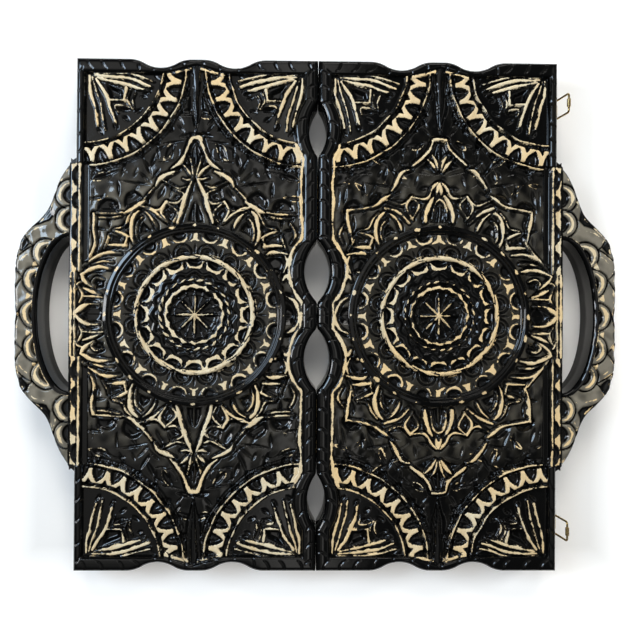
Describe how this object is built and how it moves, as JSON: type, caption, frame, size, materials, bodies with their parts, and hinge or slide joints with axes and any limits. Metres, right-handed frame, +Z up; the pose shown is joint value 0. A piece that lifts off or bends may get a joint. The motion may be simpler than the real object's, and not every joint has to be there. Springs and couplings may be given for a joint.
{
  "type": "folding backgammon board",
  "caption": "Folding backgammon case lying open with its deeply carved, black lacquered outer faces up, with half handles, butt hinges and wire bail clasps.",
  "frame": {"origin": "middle of the hinge line, on the surface that the open case lies on", "axes": "+X across the two halves towards the half with the clasps, +Y along the hinge line, +Z up out of the carved faces"},
  "size_m": [0.7098, 0.6, 0.0579],
  "materials": {
    "black_lacquer": "black gloss lacquer, rubbed through to bare wood on the carved ridges",
    "light_wood": "satin light wood",
    "dark_wood": "satin dark wood",
    "board_wood": "satin brown wood",
    "brass": "polished, lightly tarnished"
  },
  "bodies": {
    "left_half": {"left_carved_panel": "black_lacquer", "left_corner_dowels": "light_wood", "left_dark_points": "dark_wood", "left_handle": "black_lacquer", "left_handle_dowels": "light_wood", "left_hinge_rail": "black_lacquer", "left_hinge_screws": "brass", "left_light_points": "light_wood", "left_lower_end_rail": "black_lacquer", "left_outer_rail": "black_lacquer", "left_play_board": "board_wood", "left_upper_end_rail": "black_lacquer", "lower_hinge_left_leaf": "brass", "lower_hinge_pin": "brass", "lower_strike": "brass", "lower_strike_screws": "brass", "upper_hinge_left_leaf": "brass", "upper_hinge_pin": "brass", "upper_strike": "brass", "upper_strike_screws": "brass"},
    "right_half": {"lower_clasp_base": "brass", "lower_clasp_screws": "brass", "lower_hinge_right_leaf": "brass", "right_carved_panel": "black_lacquer", "right_corner_dowels": "light_wood", "right_dark_points": "dark_wood", "right_handle": "black_lacquer", "right_handle_dowels": "light_wood", "right_hinge_rail": "black_lacquer", "right_hinge_screws": "brass", "right_light_points": "light_wood", "right_lower_end_rail": "black_lacquer", "right_outer_rail": "black_lacquer", "right_play_board": "board_wood", "right_upper_end_rail": "black_lacquer", "upper_clasp_base": "brass", "upper_clasp_screws": "brass", "upper_hinge_right_leaf": "brass"},
    "upper_bail_loop": {"upper_bail": "brass", "upper_pull_sleeve": "brass"},
    "lower_bail_loop": {"lower_bail": "brass", "lower_pull_sleeve": "brass"}
  },
  "joints": [
    {"name": "fold", "type": "hinge", "parent": "left_half", "child": "right_half", "pos_m": [0, 0, 0.0024], "axis": [0, 1, 0], "range_deg": [0, 180]},
    {"name": "upper_bail_swing", "type": "hinge", "parent": "right_half", "child": "upper_bail_loop", "pos_m": [0.288, 0.25, 0.024], "axis": [0, 1, 0], "range_deg": [-18, 173.79]},
    {"name": "lower_bail_swing", "type": "hinge", "parent": "right_half", "child": "lower_bail_loop", "pos_m": [0.288, -0.25, 0.024], "axis": [0, 1, 0], "range_deg": [-18, 173.79]}
  ]
}
